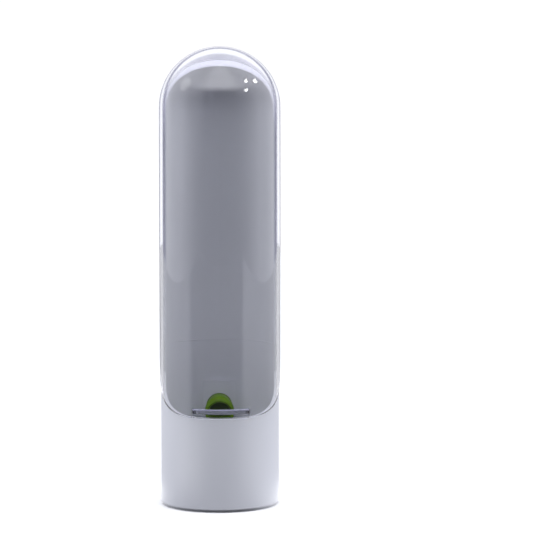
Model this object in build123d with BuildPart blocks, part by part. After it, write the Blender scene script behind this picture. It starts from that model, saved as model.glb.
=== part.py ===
"""Herb keeper: a white cup and back in one moulding, a clear lift-off front cover with the dome,
a soft stopper for topping up the water, and a closed bottom. Millimetres, +Z up, front at -Y,
origin at the centre of the face that it stands on."""

from build123d import *
import os

os.makedirs("parts", exist_ok=True)

# Driving dimensions
overall_h = 245.0  # from the standing face to the top of the cover
body_r = 31.7  # outside of the cup and the back
body_wall = 2.6
cover_step = 0.8  # the cover stands this far proud of the body
cover_wall = 1.9
running_gap = 0.3  # between the cover and the body, all round
bottom_lift = 1.1  # the cup's lower edge hangs this far above the standing face
bottom_round = 0.8  # on the cup's lower outer edge

# The joint between the cover and the body, seen from the side: level at the front rim,
# up in an arc to the middle, straight up, then back in a wider arc over the dome
rim_z = 49.2  # the cup's front rim
back_sweep_r = 48.7
back_sweep_drop = 14.0  # the wider arc starts this far under the dome's centre
lip_w = 6.0  # the body's inner lip reaches this far past the joint, under the cover
lip_foot_rise = 10.0  # the lip has its full width from this far above the lower arc
lip_foot_r = 48.7  # and dies away below that in this arc
edge_round = 0.3  # on the joint's outer edges

# The cover's tongue, which drops behind the cup's front rim
tongue_w = 30.0
tongue_wall = 1.5
tongue_drop = 8.0  # below the rim
tongue_rise = 5.2  # above the rim, where it grows out of the cover
tongue_ramp = 3.0  # height of the slope on its top
tongue_lead = 1.0  # slope on its tip

# Small ribs inside the cover's edges that ride on the lip
detent_heights = (91.7, 150.3)
detent_t = 0.8
detent_h = 0.2
detent_w = 4.5

# The stopper's flat seat low in the back, and the stopper
plug_z = 48.7
pad_depth = 1.5  # the flat seat stands this far inside the round of the wall
pad_wall = 2.2
pocket_above = 12.1  # from the stopper's axis to the top of the outer pocket
pocket_below = 14.2
pocket_arch = 0.9  # rise of the arch over the pocket
bore_r = 7.4
plug_fit = 0.04  # between the sealing ribs and the bore
plug_ribs = 2  # evenly spaced in the bore, behind the nose
plug_rib_h = 0.2
plug_rib_w = 0.4
plug_reach = 8.0  # the stem's nose stands this far into the chamber
nose_gap = 0.3  # the nose is this much smaller than the bore
nose_back = 0.6  # and starts this far inside the bore
nose_round = 1.0
plug_hollow_r = 5.4
hollow_round = 0.4  # on the mouth of the hollow
plug_floor = 1.2  # soft skin left between the hollow and the flange
plug_seat = 0.1  # between the flange and the seat
flange_r = 9.0
flange_t = 1.6
flange_round = 0.6  # on the flange and the tab, outside
tab_w = 9.0
tab_rise = 11.4  # from the stopper's axis to the tip of the pull tab
tab_t = 1.2

# The closed bottom, pressed into the cup from below
foot_inset = 1.7  # from the cup's outside to the foot ring
foot_w = 3.0
cap_fit = 0.04
floor_t = 2.0
skirt_h = 7.0
skirt_wall = 2.0
skirt_lead = 0.5

# Worked out from those
inner_r = body_r - body_wall
foot_r = body_r - foot_inset
pad_y = inner_r - pad_depth
cover_r = body_r + cover_step
cover_inner_r = cover_r - cover_wall
lip_r = cover_inner_r - running_gap
dome_z = overall_h - cover_r
sweep_z = dome_z - back_sweep_drop
lip_foot_z = rim_z + cover_r + lip_foot_rise
pocket_y = pad_y + pad_wall
pocket_top = plug_z + pocket_above
pocket_bottom = plug_z - pocket_below
margin = 5.0  # how far cutting shapes reach past what they cut
skin_tolerance = 0.01
front_y = cover_r + margin
side_x = cover_r + margin
sky_z = sweep_z + back_sweep_r + lip_w + margin


def half_capsule(radius, foot_z, mode=Mode.ADD):
    """Half the outline of a tube with a round top, for turning about the Z axis."""
    with BuildLine() as outline:
        CenterArc((0, dome_z), radius, 0, 90)
        Polyline((radius, dome_z), (radius, foot_z), (0, foot_z), (0, dome_z + radius))
    make_face(outline.edges(), mode=mode)


def ahead_of_joint(offset, mode=Mode.ADD):
    """Side view of all that lies in front of the joint line, moved forward by an offset."""
    arc_z = rim_z + cover_r
    high_r = back_sweep_r + offset
    with BuildLine() as outline:
        CenterArc((-cover_r, arc_z), cover_r - offset, -90, 90)
        Line((-offset, arc_z), (-offset, sweep_z))
        CenterArc((back_sweep_r, sweep_z), high_r, 90, 90)
        Polyline(
            (back_sweep_r, sweep_z + high_r),
            (back_sweep_r, sky_z),
            (-front_y, sky_z),
            (-front_y, rim_z + offset),
            (-cover_r, rim_z + offset),
        )
    make_face(outline.edges(), mode=mode)


def ahead_of_lip(mode=Mode.ADD):
    """Side view of all that lies in front of the lip's free edge."""
    high_r = back_sweep_r + lip_w
    low_z = lip_foot_z - lip_foot_r
    with BuildLine() as outline:
        CenterArc((back_sweep_r, sweep_z), high_r, 90, 90)
        Line((-lip_w, sweep_z), (-lip_w, lip_foot_z))
        CenterArc((lip_foot_r - lip_w, lip_foot_z), lip_foot_r, 180, 90)
        Polyline(
            (lip_foot_r - lip_w, low_z),
            (-front_y, low_z),
            (-front_y, sky_z),
            (back_sweep_r, sky_z),
            (back_sweep_r, sweep_z + high_r),
        )
    make_face(outline.edges(), mode=mode)


def pocket_outline(half_w, grow):
    """The arched outline of the stopper's pocket, larger all round by grow."""
    top = pocket_top + grow
    spring = top - pocket_arch
    with BuildLine() as outline:
        ThreePointArc((-half_w, spring), (0, top), (half_w, spring))
        Polyline(
            (half_w, spring),
            (half_w, pocket_bottom - grow),
            (-half_w, pocket_bottom - grow),
            (-half_w, spring),
        )
    make_face(outline.edges())


def front_strip(*points):
    """A ring turned from this outline, trimmed to the tongue's width on the front."""
    with BuildPart() as strip:
        with BuildSketch(Plane.YZ):
            with BuildLine():
                Polyline(*points, close=True)
            make_face()
        revolve(axis=Axis.Z)
        with BuildSketch(Plane.XY):
            with Locations((0, -front_y / 2)):
                Rectangle(tongue_w, front_y)
        extrude(amount=overall_h, mode=Mode.INTERSECT)
    return strip.part


def joint_edges(piece, radius):
    """The edges where the joint cuts the outer skin of this radius."""

    def from_skin(point):
        over = max(point.Z - dome_z, 0)
        return abs((point.X**2 + point.Y**2 + over**2) ** 0.5 - radius)

    skin = piece.edges().filter_by(lambda edge: from_skin(edge @ 0.3) < skin_tolerance)
    skin = skin.filter_by(lambda edge: from_skin(edge @ 0.7) < skin_tolerance)
    skin = skin.filter_by(GeomType.CIRCLE, reverse=True)
    return skin.filter_by(lambda edge: (edge @ 0.5).Y < pad_y)


# What the joint takes off the body's outer skin, down to the lip
with BuildPart() as skin_cut:
    with BuildSketch(Plane.YZ):
        ahead_of_joint(0)
    extrude(amount=side_x, both=True)
    with BuildSketch(Plane.YZ):
        half_capsule(lip_r, 0)
    revolve(axis=Axis.Z, mode=Mode.SUBTRACT)

# The flat seat's inner side: a block that fills the round of the wall
with BuildPart() as pad:
    with BuildSketch(Plane.back.offset(pad_y)):
        pocket_outline(body_r, pad_wall)
    extrude(amount=body_wall + pad_wall)
    with BuildSketch(Plane.YZ):
        half_capsule(body_r - body_wall / 2, 0)
    revolve(axis=Axis.Z, mode=Mode.INTERSECT)

with BuildPart() as body:
    with BuildSketch(Plane.YZ):
        half_capsule(body_r, bottom_lift)
        half_capsule(inner_r, bottom_lift, mode=Mode.SUBTRACT)
    revolve(axis=Axis.Z)
    with BuildSketch(Plane.YZ):
        ahead_of_joint(0)
        ahead_of_lip(mode=Mode.INTERSECT)
    extrude(amount=side_x, both=True, mode=Mode.SUBTRACT)
    add(skin_cut.part, mode=Mode.SUBTRACT)
    add(pad.part)
    with BuildSketch(Plane.back.offset(pocket_y)):
        pocket_outline(body_r, 0)
    extrude(amount=body_r, mode=Mode.SUBTRACT)
    with BuildSketch(Plane.back):
        with Locations((0, plug_z)):
            Circle(bore_r)
    extrude(amount=front_y, mode=Mode.SUBTRACT)
    fillet(joint_edges(body, body_r), edge_round)
    fillet(body.edges().group_by(Axis.Z)[0].sort_by(SortBy.RADIUS)[-1], bottom_round)
body.part.label = "body"

# The tongue: a root that grows out of the cover above the rim, and a leaf behind the rim
tongue_back = inner_r - running_gap
tongue_front = tongue_back - tongue_wall
tongue_root_r = cover_inner_r + cover_wall / 2
tongue_top = rim_z + tongue_rise
tongue_tip = rim_z - tongue_drop
tongue_root = front_strip(
    (tongue_root_r, tongue_top),
    (cover_inner_r, tongue_top),
    (tongue_front, tongue_top - tongue_ramp),
    (tongue_front, rim_z),
    (tongue_root_r, rim_z),
)
tongue_leaf = front_strip(
    (tongue_back, tongue_top - tongue_ramp),
    (tongue_front, tongue_top - tongue_ramp),
    (tongue_front, tongue_tip),
    (tongue_back - tongue_lead, tongue_tip),
    (tongue_back, tongue_tip + tongue_lead),
)

# The detent ribs: thin rings trimmed to the strips inside both edges
with BuildPart() as detents:
    for rib_z in detent_heights:
        with BuildSketch(Plane.XY.offset(rib_z - detent_t / 2)):
            Circle(cover_inner_r + cover_wall / 2)
            Circle(cover_inner_r - detent_h, mode=Mode.SUBTRACT)
        extrude(amount=detent_t)
    with BuildSketch(Plane.XY):
        with Locations((0, -running_gap - detent_w / 2)):
            Rectangle(2 * side_x, detent_w)
    extrude(amount=overall_h, mode=Mode.INTERSECT)

with BuildPart() as front_cover:
    with BuildSketch(Plane.YZ):
        half_capsule(cover_r, 0)
        half_capsule(cover_inner_r, 0, mode=Mode.SUBTRACT)
    revolve(axis=Axis.Z)
    add(tongue_root)
    add(detents.part)
    with BuildSketch(Plane.YZ):
        ahead_of_joint(running_gap)
    extrude(amount=side_x, both=True, mode=Mode.INTERSECT)
    add(tongue_leaf)
    fillet(joint_edges(front_cover, cover_r), edge_round)
front_cover.part.label = "front_cover"

# The stopper lies along Y, with its hollow open to the chamber
plug_plane = Plane(origin=(0, 0, plug_z), x_dir=(0, 1, 0), z_dir=(1, 0, 0))
with BuildPart() as fill_plug:
    rib_r = bore_r - plug_fit
    stem_r = rib_r - plug_rib_h
    nose_r = bore_r - nose_gap
    nose_y = pad_y + nose_back
    nose_end = pad_y - plug_reach
    seal_length = pad_wall - nose_back
    flange_y = pocket_y + plug_seat
    outer_y = flange_y + flange_t
    with BuildSketch(plug_plane):
        with BuildLine():
            Polyline(
                (nose_end, plug_hollow_r),
                (nose_end, nose_r),
                (nose_y, nose_r),
                (nose_y, stem_r),
                (flange_y, stem_r),
                (flange_y, flange_r),
                (outer_y, flange_r),
                (outer_y, 0),
                (outer_y - plug_floor, 0),
                (outer_y - plug_floor, plug_hollow_r),
                close=True,
            )
        make_face()
        for rib in range(1, plug_ribs + 1):
            with Locations((nose_y + seal_length * rib / (plug_ribs + 1), stem_r)):
                Rectangle(plug_rib_w, 2 * plug_rib_h)
    revolve(axis=Axis((0, 0, plug_z), (0, 1, 0)))
    with BuildSketch(Plane.back.offset(outer_y - tab_t)):
        with Locations((0, plug_z + tab_rise - tab_w / 2)):
            Circle(tab_w / 2)
        with Locations((0, plug_z + (tab_rise - tab_w / 2 + flange_r / 2) / 2)):
            Rectangle(tab_w, tab_rise - tab_w / 2 - flange_r / 2)
    extrude(amount=tab_t)
    fillet(fill_plug.edges().group_by(Axis.Y)[0].sort_by(SortBy.RADIUS)[-1], nose_round)
    fillet(fill_plug.edges().group_by(Axis.Y)[0].sort_by(SortBy.RADIUS)[0], hollow_round)
    fillet(fill_plug.edges().group_by(Axis.Y)[-1], flange_round)
fill_plug.part.label = "fill_plug"

with BuildPart() as base_cap:
    skirt_r = inner_r - cap_fit
    floor_z = bottom_lift + floor_t
    with BuildSketch(Plane.XZ):
        with BuildLine():
            Polyline(
                (0, bottom_lift),
                (foot_r - foot_w, bottom_lift),
                (foot_r - foot_w, 0),
                (foot_r, 0),
                (foot_r, bottom_lift),
                (skirt_r, bottom_lift),
                (skirt_r, bottom_lift + skirt_h - skirt_lead),
                (skirt_r - skirt_lead, bottom_lift + skirt_h),
                (skirt_r - skirt_wall, bottom_lift + skirt_h),
                (skirt_r - skirt_wall, floor_z),
                (0, floor_z),
                close=True,
            )
        make_face()
    revolve(axis=Axis.Z)
base_cap.part.label = "base_cap"

export_step(body.part, "parts/body.step")
export_step(front_cover.part, "parts/front_cover.step")
export_step(fill_plug.part, "parts/fill_plug.step")
export_step(base_cap.part, "parts/base_cap.step")
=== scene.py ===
"""Looks of the herb keeper: white moulded cup and back, water-clear front cover, green silicone
stopper and bottom closure, on a white table in soft light. Metres, +Z up, front at -Y."""

import math

import bmesh
import bpy
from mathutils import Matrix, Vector


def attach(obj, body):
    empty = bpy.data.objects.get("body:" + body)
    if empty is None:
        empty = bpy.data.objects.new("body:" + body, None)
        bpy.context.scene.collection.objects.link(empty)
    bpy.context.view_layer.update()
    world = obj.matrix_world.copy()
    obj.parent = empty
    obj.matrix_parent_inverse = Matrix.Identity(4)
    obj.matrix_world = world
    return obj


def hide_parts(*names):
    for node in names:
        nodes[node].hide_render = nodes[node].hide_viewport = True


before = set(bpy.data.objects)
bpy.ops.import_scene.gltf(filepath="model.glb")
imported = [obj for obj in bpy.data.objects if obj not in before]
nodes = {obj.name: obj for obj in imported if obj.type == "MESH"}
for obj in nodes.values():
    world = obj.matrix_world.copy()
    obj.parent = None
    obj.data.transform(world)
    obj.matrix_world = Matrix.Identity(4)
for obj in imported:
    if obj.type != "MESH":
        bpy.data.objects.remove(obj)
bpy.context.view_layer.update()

bpy.ops.object.select_all(action="DESELECT")

MM = 0.001


# ---------------------------------------------------------------- shader nodes


def linear(code):
    """An sRGB hex value as linear RGBA."""
    parts = [int(code[i : i + 2], 16) / 255 for i in (0, 2, 4)]
    return [p / 12.92 if p <= 0.04045 else ((p + 0.055) / 1.055) ** 2.4 for p in parts] + [1]


def add(tree, kind, feeds=(), **settings):
    """Adds a node. Settings name its sockets or properties; each feed gives one socket another
    node's output or a number."""
    node = tree.nodes.new(kind)
    for name, value in settings.items():
        label = name.replace("_", " ")
        if label in node.inputs:
            node.inputs[label].default_value = value
        else:
            setattr(node, name, value)
    for socket, source in feeds:
        if isinstance(source, bpy.types.NodeSocket):
            tree.links.new(source, node.inputs[socket])
        else:
            node.inputs[socket].default_value = source
    return node


def new_material(name):
    material = bpy.data.materials.new(name)
    material.use_nodes = True
    material.node_tree.nodes.clear()
    return material, material.node_tree


def dress(piece, material):
    piece.data.materials.clear()
    piece.data.materials.append(material)


# ---------------------------------------------------------------- materials

# The joint between cover and body in side view, as in the CAD: an arc up from the front rim, a
# straight stretch at the middle and a wider arc back over the dome.
FRONT_ARC_R = 32.5 * MM
FRONT_ARC_Z = 81.7 * MM
BACK_ARC_R = 48.7 * MM
BACK_ARC_Z = 198.5 * MM
JOINT_GAP = 0.3 * MM
JOINT_FACE = 0.1 * MM  # how near to the joint a point of the cover's edge face lies

# The body's thin lip ahead of the joint fades in above its foot, and glows most over the dome.
LIP_STEP = (0.1 * MM, 0.5 * MM)
LIP_FOOT_Z = 84 * MM
LIP_FULL_Z = 90 * MM
LIP_DOME_Z = 195 * MM
LIP_TOP_Z = 215 * MM
SIDE_GLOW = 0.4
TOP_GLOW = 0.85

# The ends of the cover's tongue
TONGUE_HALF = 15 * MM
TONGUE_END_FACE = 0.15 * MM
TONGUE_TOP_Z = 54.8 * MM

FLOW_LENGTH = 16.667 * MM
ABS_ROUGHNESS = (0.27, 0.29)
POLYSTYRENE_IOR = 1.58
PARTED_ROUGHNESS = 0.35
GRAIN_WIDTH = 0.625 * MM
SILICONE_ROUGHNESS = (0.34, 0.44)


def ahead_of_joint(tree, spot):
    """How far a point lies in front of the joint line. The spot node splits its coordinates."""
    forward = spot.outputs["Y"]
    height = spot.outputs["Z"]

    def to_arc(middle_y, middle_z, side):
        across = add(tree, "ShaderNodeMath", [(0, forward), (1, middle_y)], operation="SUBTRACT")
        up = add(tree, "ShaderNodeMath", [(0, height), (1, middle_z)], operation="SUBTRACT")
        past = add(tree, "ShaderNodeMath", [(0, up.outputs[0]), (1, 0)], operation=side)
        arm = add(
            tree, "ShaderNodeCombineXYZ", [("X", across.outputs[0]), ("Y", past.outputs[0])]
        )
        reach = add(tree, "ShaderNodeVectorMath", [(0, arm.outputs[0])], operation="LENGTH")
        return reach.outputs["Value"]

    over_dome = to_arc(BACK_ARC_R, BACK_ARC_Z, "MAXIMUM")
    at_rim = to_arc(-FRONT_ARC_R, FRONT_ARC_Z, "MINIMUM")
    both = add(tree, "ShaderNodeMath", [(0, over_dome), (1, at_rim)], operation="SUBTRACT")
    level = add(tree, "ShaderNodeMath", [(0, both.outputs[0]), (1, forward)], operation="ADD")
    ahead = add(
        tree,
        "ShaderNodeMath",
        [(0, level.outputs[0]), (1, FRONT_ARC_R - BACK_ARC_R)],
        operation="ADD",
    )
    return ahead.outputs[0]


def moulded_white_abs():
    """White ABS, injection moulded in a polished tool: satin gloss and a faint flow. The thin lip
    ahead of the joint lets light through, so it glows against the wall behind it."""
    material, tree = new_material("moulded_white_abs")
    place = add(tree, "ShaderNodeTexCoord").outputs["Object"]
    spot = add(tree, "ShaderNodeSeparateXYZ", [("Vector", place)])
    flow = add(tree, "ShaderNodeTexNoise", [("Vector", place)], Scale=1 / FLOW_LENGTH, Detail=3)
    rough = add(
        tree,
        "ShaderNodeMapRange",
        [("Value", flow.outputs["Fac"])],
        To_Min=ABS_ROUGHNESS[0],
        To_Max=ABS_ROUGHNESS[1],
    )
    surface = add(
        tree,
        "ShaderNodeBsdfPrincipled",
        [("Roughness", rough.outputs["Result"])],
        Base_Color=linear("C6C8D0"),
        IOR=1.54,
    )
    on_lip = add(
        tree,
        "ShaderNodeMapRange",
        [("Value", ahead_of_joint(tree, spot))],
        interpolation_type="SMOOTHSTEP",
        From_Min=LIP_STEP[0],
        From_Max=LIP_STEP[1],
    )
    above_foot = add(
        tree,
        "ShaderNodeMapRange",
        [("Value", spot.outputs["Z"])],
        interpolation_type="SMOOTHSTEP",
        From_Min=LIP_FOOT_Z,
        From_Max=LIP_FULL_Z,
    )
    thin = add(
        tree,
        "ShaderNodeMath",
        [(0, on_lip.outputs["Result"]), (1, above_foot.outputs["Result"])],
        operation="MULTIPLY",
    )
    strength = add(
        tree,
        "ShaderNodeMapRange",
        [("Value", spot.outputs["Z"])],
        interpolation_type="SMOOTHSTEP",
        From_Min=LIP_DOME_Z,
        From_Max=LIP_TOP_Z,
        To_Min=SIDE_GLOW,
        To_Max=TOP_GLOW,
    )
    share = add(
        tree,
        "ShaderNodeMath",
        [(0, thin.outputs[0]), (1, strength.outputs["Result"])],
        operation="MULTIPLY",
    )
    glow = add(tree, "ShaderNodeBsdfTranslucent", Color=linear("F2F2FA"))
    mix = add(
        tree,
        "ShaderNodeMixShader",
        [(0, share.outputs[0]), (1, surface.outputs[0]), (2, glow.outputs[0])],
    )
    add(tree, "ShaderNodeOutputMaterial", [("Surface", mix.outputs[0])])
    return material


def clear_polystyrene():
    """Water-clear polystyrene, moulded in a polished tool: high index, so its edges gather light.
    The joint's edge face and the tongue's ends come from the mould's parting: less polished. The
    joint's edge face is also tinted violet-grey, a painted shade for the dark violet line that
    shows where one looks along the edge."""
    material, tree = new_material("clear_polystyrene")
    place = add(tree, "ShaderNodeTexCoord").outputs["Object"]
    spot = add(tree, "ShaderNodeSeparateXYZ", [("Vector", place)])
    at_joint = add(
        tree,
        "ShaderNodeMath",
        [(0, ahead_of_joint(tree, spot)), (1, JOINT_GAP), (2, JOINT_FACE)],
        operation="COMPARE",
    )
    # Painted shade: the joint's edge face is tinted violet-grey for the dark violet line along the
    # edge.
    painted_edge_shade = add(
        tree,
        "ShaderNodeMix",
        [("Factor", at_joint.outputs[0]), ("A", linear("FFFFFF")), ("B", linear("A3A3C4"))],
        data_type="RGBA",
    )
    aside = add(tree, "ShaderNodeMath", [(0, spot.outputs["X"])], operation="ABSOLUTE")
    at_end = add(
        tree,
        "ShaderNodeMath",
        [(0, aside.outputs[0]), (1, TONGUE_HALF), (2, TONGUE_END_FACE)],
        operation="COMPARE",
    )
    low_down = add(
        tree,
        "ShaderNodeMath",
        [(0, spot.outputs["Z"]), (1, TONGUE_TOP_Z)],
        operation="LESS_THAN",
    )
    tongue_end = add(
        tree,
        "ShaderNodeMath",
        [(0, at_end.outputs[0]), (1, low_down.outputs[0])],
        operation="MULTIPLY",
    )
    parted = add(
        tree,
        "ShaderNodeMath",
        [(0, at_joint.outputs[0]), (1, tongue_end.outputs[0])],
        operation="MAXIMUM",
    )
    rough = add(
        tree,
        "ShaderNodeMapRange",
        [("Value", parted.outputs[0])],
        To_Max=PARTED_ROUGHNESS,
    )
    clear = add(
        tree,
        "ShaderNodeBsdfPrincipled",
        [("Base Color", painted_edge_shade.outputs["Result"]), ("Roughness", rough.outputs["Result"])],
        IOR=POLYSTYRENE_IOR,
        Transmission_Weight=1,
    )
    # The light that falls through it loses only what the two skins reflect, with no bending.
    side = add(tree, "ShaderNodeNewGeometry")
    index = add(
        tree,
        "ShaderNodeMapRange",
        [("Value", side.outputs["Backfacing"])],
        To_Min=POLYSTYRENE_IOR,
        To_Max=1 / POLYSTYRENE_IOR,
    )
    skin_loss = add(tree, "ShaderNodeFresnel", [("IOR", index.outputs["Result"])])
    passed = add(
        tree,
        "ShaderNodeMix",
        [("Factor", skin_loss.outputs[0]), ("A", linear("FFFFFF")), ("B", linear("000000"))],
        data_type="RGBA",
    )
    straight = add(tree, "ShaderNodeBsdfTransparent", [("Color", passed.outputs["Result"])])
    path = add(tree, "ShaderNodeLightPath")
    lighting = add(
        tree,
        "ShaderNodeMath",
        [(0, path.outputs["Is Shadow Ray"]), (1, path.outputs["Is Diffuse Ray"])],
        operation="MAXIMUM",
    )
    mix = add(
        tree,
        "ShaderNodeMixShader",
        [(0, lighting.outputs[0]), (1, clear.outputs[0]), (2, straight.outputs[0])],
    )
    # A trace of violet gathers over the long way through an edge.
    depth = add(tree, "ShaderNodeVolumeAbsorption", Density=8, Color=linear("3F50B3"))
    add(
        tree,
        "ShaderNodeOutputMaterial",
        [("Surface", mix.outputs[0]), ("Volume", depth.outputs[0])],
    )
    return material


def green_silicone():
    """Green silicone, compression moulded: soft, slightly translucent, with a satin skin whose
    fine spark-eroded grain, drawn 0.6 mm wide so that it shows, breaks the gloss a little."""
    material, tree = new_material("green_silicone")
    place = add(tree, "ShaderNodeTexCoord").outputs["Object"]
    grain = add(tree, "ShaderNodeTexNoise", [("Vector", place)], Scale=1 / GRAIN_WIDTH, Detail=2)
    rough = add(
        tree,
        "ShaderNodeMapRange",
        [("Value", grain.outputs["Fac"])],
        To_Min=SILICONE_ROUGHNESS[0],
        To_Max=SILICONE_ROUGHNESS[1],
    )
    skin = add(
        tree,
        "ShaderNodeBump",
        [("Height", grain.outputs["Fac"])],
        Strength=0.3,
        Distance=0.02 * MM,
    )
    surface = add(
        tree,
        "ShaderNodeBsdfPrincipled",
        [("Roughness", rough.outputs["Result"]), ("Normal", skin.outputs["Normal"])],
        Base_Color=linear("5E8200"),
        IOR=1.41,
        Specular_IOR_Level=0.2,
        Subsurface_Weight=0.3,
        Subsurface_Radius=(0.8, 1, 0.2),
        Subsurface_Scale=2 * MM,
    )
    add(tree, "ShaderNodeOutputMaterial", [("Surface", surface.outputs[0])])
    return material


white_abs = moulded_white_abs()
dress(nodes["body"], white_abs)
dress(nodes["base_cap"], white_abs)
dress(nodes["front_cover"], clear_polystyrene())
silicone = green_silicone()
dress(nodes["fill_plug"], silicone)


# ---------------------------------------------------------------- the stopper

# The soft stopper as it sits in use: behind the seal its hollow nose swells and droops a little
# into the cup. Rings of the nose in millimetres: place along Y, height of the middle and radius,
# from the bore inwards, over the rim and back down the hollow.
NOSE_CUT_Y = 27.9
NOSE_CUT_R = 7.16
NOSE_Z = 48.7
HOLLOW_R = 5.4
NOSE_RINGS = (
    (27.0, 48.7, 7.1),
    (25.0, 48.4, 7.3),
    (22.5, 47.6, 7.95),
    (20.4, 46.8, 8.35),
    (19.3, 46.3, 8.3),
    (18.6, 45.9, 7.9),
    (18.3, 45.6, 7.4),
    (18.5, 45.35, 6.9),
    (19.5, 45.4, 6.5),
    (23.0, 46.8, 6.2),
    (26.0, 48.2, 5.6),
)
WELD = 0.001 * MM
# How near to a ring its points lie, along Y and across
ALONG_SLACK = 0.02 * MM
ACROSS_SLACK = 0.1 * MM
STOPPER_CREASE = 35  # degrees


def select_ring(piece, ring_y, middle_z, radius, keep=False):
    """In edit mode, selects the points of a ring about an axis along Y. Keep adds them to the
    points that are selected already."""
    mesh = bmesh.from_edit_mesh(piece.data)
    for point in mesh.verts:
        out = math.hypot(point.co.x, point.co.z - middle_z * MM)
        in_plane = abs(point.co.y - ring_y * MM) < ALONG_SLACK
        on_ring = in_plane and abs(out - radius * MM) < ACROSS_SLACK
        if on_ring or not keep:
            point.select_set(on_ring)
    mesh.select_flush_mode()
    bmesh.update_edit_mesh(piece.data)


stopper = bpy.data.objects.new("stopper", nodes["fill_plug"].data.copy())
bpy.context.scene.collection.objects.link(stopper)
stopper.select_set(True)
bpy.context.view_layer.objects.active = stopper
bpy.ops.object.mode_set(mode="EDIT")
bpy.ops.mesh.select_mode(type="VERT")
bpy.ops.mesh.select_all(action="SELECT")
bpy.ops.mesh.remove_doubles(threshold=WELD)
bpy.ops.mesh.bisect(plane_co=(0, NOSE_CUT_Y * MM, 0), plane_no=(0, 1, 0), clear_inner=True)
select_ring(stopper, NOSE_CUT_Y, NOSE_Z, NOSE_CUT_R)
last_y, last_z, last_r = NOSE_CUT_Y, NOSE_Z, NOSE_CUT_R
for ring_y, ring_z, ring_r in NOSE_RINGS:
    shift = (0, (ring_y - last_y) * MM, (ring_z - last_z) * MM)
    bpy.ops.mesh.extrude_region_move(TRANSFORM_OT_translate={"value": shift})
    scale = ring_r / last_r
    bpy.ops.transform.resize(
        value=(scale, 1, scale), center_override=(0, ring_y * MM, ring_z * MM)
    )
    last_y, last_z, last_r = ring_y, ring_z, ring_r
select_ring(stopper, NOSE_CUT_Y, NOSE_Z, HOLLOW_R, keep=True)
bpy.ops.mesh.bridge_edge_loops()
bpy.ops.mesh.select_all(action="SELECT")
bpy.ops.mesh.normals_make_consistent(inside=False)
bpy.ops.object.mode_set(mode="OBJECT")
bpy.ops.object.shade_smooth_by_angle(angle=math.radians(STOPPER_CREASE))
dress(stopper, silicone)
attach(stopper, "stopper")
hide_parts("fill_plug")
stopper.select_set(False)


# ---------------------------------------------------------------- the mould's witness line

# The two cores that form the inside of the back meet here and leave a fine ridge on the wall.
WITNESS_Z = 85.8 * MM
WITNESS_R = 29.1 * MM
WITNESS_RISE = 0.2 * MM
WITNESS_END_Y = 1.0 * MM
WITNESS_CREASE = 50  # degrees

bpy.ops.mesh.primitive_torus_add(
    major_radius=WITNESS_R,
    minor_radius=WITNESS_RISE,
    major_segments=160,
    minor_segments=8,
    location=(0, 0, WITNESS_Z),
)
witness = bpy.context.object
witness.name = "witness_line"
bpy.ops.object.transform_apply()
bpy.ops.object.mode_set(mode="EDIT")
bpy.ops.mesh.select_all(action="SELECT")
bpy.ops.mesh.bisect(
    plane_co=(0, WITNESS_END_Y, 0), plane_no=(0, 1, 0), use_fill=True, clear_inner=True
)
bpy.ops.object.mode_set(mode="OBJECT")
bpy.ops.object.shade_smooth_by_angle(angle=math.radians(WITNESS_CREASE))
dress(witness, white_abs)
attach(witness, "base")
witness.select_set(False)


# ---------------------------------------------------------------- camera

FRAME_PX = 540
FOCAL_PX = 1866.8
AXIS_PX = 219.85
CAM_DISTANCE = 1.0
CAM_HEIGHT = 0.1799
CAM_PITCH = 3.106
OBJECT_TURN = 0.9

camera = bpy.data.cameras.new("camera")
camera.sensor_width = 36
camera.lens = FOCAL_PX * camera.sensor_width / FRAME_PX
camera.clip_start = 0.05
camera.clip_end = 20
viewer = bpy.data.objects.new("camera", camera)
bpy.context.scene.collection.objects.link(viewer)
turn = math.radians(OBJECT_TURN)
pan = math.atan((FRAME_PX / 2 - AXIS_PX) / FOCAL_PX)
viewer.location = (-CAM_DISTANCE * math.sin(turn), -CAM_DISTANCE * math.cos(turn), CAM_HEIGHT)
viewer.rotation_euler = (math.radians(90 - CAM_PITCH), 0, -turn - pan)
bpy.context.scene.camera = viewer


# ---------------------------------------------------------------- table

SHEET_WIDTH = 4
SHEET_FRONT_Y = -2.5
SHEET_BACK_Y = 3.0
SHEET_SEEN = 0.8
# Painted shade: in the light that the sheet throws up, it is dark in front of the object, as if a
# lens stand shaded it; beside and behind it the sheet is bright. The painted shade's edge runs
# forward at both sides, more at the right.
FRONT_THROWN = 0.05
BACK_THROWN = 0.42
SHADE_SPREAD = 0.8
SHADE_TURN = 0.25
SHADE_EDGE = (-0.12, 0.08)
# Painted pools of light, which the sheet gives off itself with no lamp: a narrow bright one round
# the back of the foot, one at the front left and a weaker one at the front right.
FOOT_INNER = 0.05
FOOT_OUTER = 0.11
FOOT_EDGE = (-0.02, 0.05)
FOOT_LIGHT = 1.0
POOL_MIDDLE = (0.15, -0.1, 0)
POOL_INNER = 0.05
POOL_OUTER = 0.12
POOL_LIGHT = 1.7
RIGHT_POOL_CUT = 1.0

bpy.ops.mesh.primitive_plane_add(size=1)
table = bpy.context.object
table.name = "table"
for vert in table.data.vertices:
    vert.co.x *= SHEET_WIDTH
    vert.co.y = SHEET_FRONT_Y if vert.co.y < 0 else SHEET_BACK_Y
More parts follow.
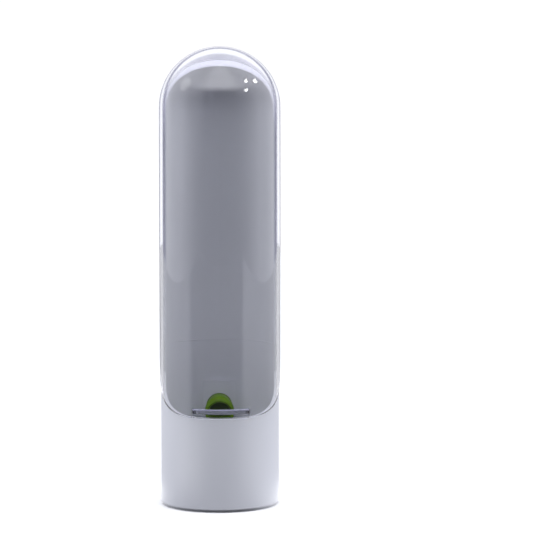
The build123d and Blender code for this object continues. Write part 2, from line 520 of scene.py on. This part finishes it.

# A lit white sheet: the lens sees it as bright as the backdrop, and it throws a paler light up,
# with a painted shade and painted pools of light in it.
table_paint, table_tree = new_material("white_sheet")
seen_sheet = add(
    table_tree, "ShaderNodeBsdfDiffuse", Color=(SHEET_SEEN, SHEET_SEEN, SHEET_SEEN, 1)
)
sheet_place = add(table_tree, "ShaderNodeTexCoord").outputs["Object"]
spot = add(table_tree, "ShaderNodeSeparateXYZ", [("Vector", sheet_place)])
aside = add(table_tree, "ShaderNodeMath", [(0, spot.outputs["X"])], operation="ABSOLUTE")
past_spread = add(
    table_tree,
    "ShaderNodeMath",
    [(0, aside.outputs[0]), (1, SHADE_SPREAD), (2, spot.outputs["Y"])],
    operation="MULTIPLY_ADD",
)
past_shade = add(
    table_tree,
    "ShaderNodeMath",
    [(0, spot.outputs["X"]), (1, SHADE_TURN), (2, past_spread.outputs[0])],
    operation="MULTIPLY_ADD",
)
# Painted shade: the sheet throws up less light in front of the object than beside and behind it.
thrown = add(
    table_tree,
    "ShaderNodeMapRange",
    [("Value", past_shade.outputs[0])],
    interpolation_type="SMOOTHSTEP",
    From_Min=SHADE_EDGE[0],
    From_Max=SHADE_EDGE[1],
    To_Min=FRONT_THROWN,
    To_Max=BACK_THROWN,
)
lit_sheet = add(table_tree, "ShaderNodeBsdfDiffuse", [("Color", thrown.outputs["Result"])])

from_foot = add(table_tree, "ShaderNodeVectorMath", [(0, sheet_place)], operation="LENGTH")
near_foot = add(
    table_tree,
    "ShaderNodeMapRange",
    [("Value", from_foot.outputs["Value"])],
    interpolation_type="SMOOTHSTEP",
    From_Min=FOOT_OUTER,
    From_Max=FOOT_INNER,
)
behind_foot = add(
    table_tree,
    "ShaderNodeMapRange",
    [("Value", past_shade.outputs[0])],
    interpolation_type="SMOOTHSTEP",
    From_Min=FOOT_EDGE[0],
    From_Max=FOOT_EDGE[1],
)
foot_glow = add(
    table_tree,
    "ShaderNodeMath",
    [(0, near_foot.outputs["Result"]), (1, behind_foot.outputs["Result"])],
    operation="MULTIPLY",
)
beside = add(
    table_tree, "ShaderNodeCombineXYZ", [("X", aside.outputs[0]), ("Y", spot.outputs["Y"])]
)
from_pool = add(
    table_tree,
    "ShaderNodeVectorMath",
    [(0, beside.outputs[0]), (1, POOL_MIDDLE)],
    operation="DISTANCE",
)
in_pool = add(
    table_tree,
    "ShaderNodeMapRange",
    [("Value", from_pool.outputs["Value"])],
    interpolation_type="SMOOTHSTEP",
    From_Min=POOL_OUTER,
    From_Max=POOL_INNER,
)
at_right = add(
    table_tree, "ShaderNodeMath", [(0, spot.outputs["X"]), (1, 0)], operation="GREATER_THAN"
)
pool_light = add(
    table_tree,
    "ShaderNodeMath",
    [(0, at_right.outputs[0]), (1, -RIGHT_POOL_CUT), (2, POOL_LIGHT)],
    operation="MULTIPLY_ADD",
)
side_glow = add(
    table_tree,
    "ShaderNodeMath",
    [(0, in_pool.outputs["Result"]), (1, pool_light.outputs[0])],
    operation="MULTIPLY",
)
glow = add(
    table_tree,
    "ShaderNodeMath",
    [(0, foot_glow.outputs[0]), (1, FOOT_LIGHT), (2, side_glow.outputs[0])],
    operation="MULTIPLY_ADD",
)
# Painted pools of light: the sheet itself gives off light here, though it is no lamp.
painted_pools = add(table_tree, "ShaderNodeEmission", [("Strength", glow.outputs[0])])
thrown_light = add(
    table_tree, "ShaderNodeAddShader", [(0, lit_sheet.outputs[0]), (1, painted_pools.outputs[0])]
)
sheet_ray = add(table_tree, "ShaderNodeLightPath")
sheet = add(
    table_tree,
    "ShaderNodeMixShader",
    [
        (0, sheet_ray.outputs["Is Camera Ray"]),
        (1, thrown_light.outputs[0]),
        (2, seen_sheet.outputs[0]),
    ],
)
add(table_tree, "ShaderNodeOutputMaterial", [("Surface", sheet.outputs[0])])
dress(table, table_paint)


# ---------------------------------------------------------------- light

# The tent: dark where the lens looks in, bright at the sides and brightest over the front. Each
# ring gives its light by the degrees round from the back, the same on both sides.
LOW_RING = ((0, 1.15), (60, 1.1), (80, 1.0), (100, 1.0), (130, 0.25), (150, 0.03))
MIDDLE_RING = ((0, 1.2), (60, 1.4), (80, 1.3), (100, 1.2), (130, 0.7), (155, 0.1), (180, 0.03))
HIGH_RING = ((0, 1.4), (60, 1.7), (90, 2.0), (130, 2.1), (155, 2.9), (180, 3.0))
# The heights between which one ring turns into the next, as the Z of a direction
LOW_TO_MIDDLE = (0.22, 0.45)
MIDDLE_TO_HIGH = (0.43, 0.66)
TENT_TINT = (0.965, 0.975, 1.03)
# Darker, faintly violet frames round the backdrop, seen only as the thin dark lines along the
# cover's outline: each stop is how far from the back's middle it is, and the light there. The
# frames are lower than they are wide.
INNER_FRAME = (0.42, 0.42, 0.5)
OUTER_FRAME = (0.22, 0.22, 0.3)
BRIGHT = (1, 1, 1)
FRAME_STOPS = (
    (0.18, BRIGHT),
    (0.22, INNER_FRAME),
    (0.32, INNER_FRAME),
    (0.39, BRIGHT),
    (0.57, BRIGHT),
    (0.65, OUTER_FRAME),
    (0.77, OUTER_FRAME),
    (0.84, BRIGHT),
)
FRAME_SQUEEZE = 1.5
BACKDROP_LIGHT = 1.05

world = bpy.data.worlds.new("light_tent")
bpy.context.scene.world = world
world.use_nodes = True
sky = world.node_tree
sky.nodes.clear()
way = add(sky, "ShaderNodeTexCoord")
split = add(sky, "ShaderNodeSeparateXYZ", [("Vector", way.outputs["Generated"])])
aside = add(sky, "ShaderNodeMath", [(0, split.outputs["X"])], operation="ABSOLUTE")
turn_round = add(
    sky,
    "ShaderNodeMath",
    [(0, aside.outputs[0]), (1, split.outputs["Y"])],
    operation="ARCTAN2",
)
round_it = add(sky, "ShaderNodeMapRange", [("Value", turn_round.outputs[0])], From_Max=math.pi)

rings = []
for ring in (LOW_RING, MIDDLE_RING, HIGH_RING):
    band = add(sky, "ShaderNodeValToRGB", [(0, round_it.outputs["Result"])])
    for degrees, _ in ring[1:-1]:
        band.color_ramp.elements.new(degrees / 180)
    for stop, (degrees, radiance) in zip(band.color_ramp.elements, ring):
        stop.position = degrees / 180
        stop.color = [radiance * tint for tint in TENT_TINT] + [1]
    rings.append(band.outputs["Color"])

tent = rings[0]
for higher, heights in zip(rings[1:], (LOW_TO_MIDDLE, MIDDLE_TO_HIGH)):
    rise = add(
        sky,
        "ShaderNodeMapRange",
        [("Value", split.outputs["Z"])],
        interpolation_type="SMOOTHSTEP",
        From_Min=heights[0],
        From_Max=heights[1],
    )
    blended = add(
        sky,
        "ShaderNodeMix",
        [("Factor", rise.outputs["Result"]), ("A", tent), ("B", higher)],
        data_type="RGBA",
    )
    tent = blended.outputs["Result"]

squeezed = add(
    sky, "ShaderNodeMath", [(0, split.outputs["Z"]), (1, FRAME_SQUEEZE)], operation="MULTIPLY"
)
off_middle = add(
    sky, "ShaderNodeCombineXYZ", [("X", split.outputs["X"]), ("Z", squeezed.outputs[0])]
)
distance = add(sky, "ShaderNodeVectorMath", [(0, off_middle.outputs[0])], operation="LENGTH")
in_front = add(sky, "ShaderNodeMath", [(0, split.outputs["Y"]), (1, 0)], operation="LESS_THAN")
place_in_frame = add(
    sky,
    "ShaderNodeMath",
    [(0, distance.outputs["Value"]), (1, in_front.outputs[0])],
    operation="ADD",
)
backdrop_frame = add(sky, "ShaderNodeValToRGB", [(0, place_in_frame.outputs[0])])
frame_ramp = backdrop_frame.color_ramp
for place, tone in FRAME_STOPS:
    frame_ramp.elements.new(place).color = [*tone, 1]
for end in (0, -1):
    frame_ramp.elements[end].color = [*BRIGHT, 1]
framed = add(
    sky,
    "ShaderNodeMix",
    [("A", tent), ("B", backdrop_frame.outputs["Color"])],
    data_type="RGBA",
    blend_type="MULTIPLY",
    Factor=1,
)
light = add(sky, "ShaderNodeBackground", [("Color", framed.outputs["Result"])])
backdrop = add(sky, "ShaderNodeBackground", Color=linear("FFFFFF"), Strength=BACKDROP_LIGHT)
ray = add(sky, "ShaderNodeLightPath")
around = add(
    sky,
    "ShaderNodeMixShader",
    [(0, ray.outputs["Is Camera Ray"]), (1, light.outputs[0]), (2, backdrop.outputs[0])],
)
add(sky, "ShaderNodeOutputWorld", [("Surface", around.outputs[0])])

# Three small lamps high on the right, whose sparks show in the dome, and a dim one on the left:
# name, direction from the dome's middle, width and radiance.
LAMPS = (
    ("lamp_a", (0.675, -0.302, 0.673), 0.1, 24),
    ("lamp_b", (0.8, -0.006, 0.6), 0.1, 24),
    ("lamp_c", (0.724, -0.504, 0.471), 0.1, 24),
    ("lamp_d", (-0.827, -0.088, 0.555), 0.4, 0.9),
)
LAMP_DISTANCE = 1.1
DOME_MIDDLE = (0, 0, 0.2125)
for lamp_name, aim, width, radiance in LAMPS:
    lamp = bpy.data.lights.new(lamp_name, "AREA")
    lamp.shape = "DISK"
    lamp.size = width
    disk_area = math.pi * width * width / 4
    lamp.energy = radiance * math.pi * disk_area
    holder = bpy.data.objects.new(lamp_name, lamp)
    bpy.context.scene.collection.objects.link(holder)
    holder.location = [c + LAMP_DISTANCE * a for c, a in zip(DOME_MIDDLE, aim)]
    holder.rotation_euler = Vector(aim).to_track_quat("Z", "Y").to_euler()

view = bpy.context.scene.view_settings
view.view_transform = "Standard"
view.look = "None"
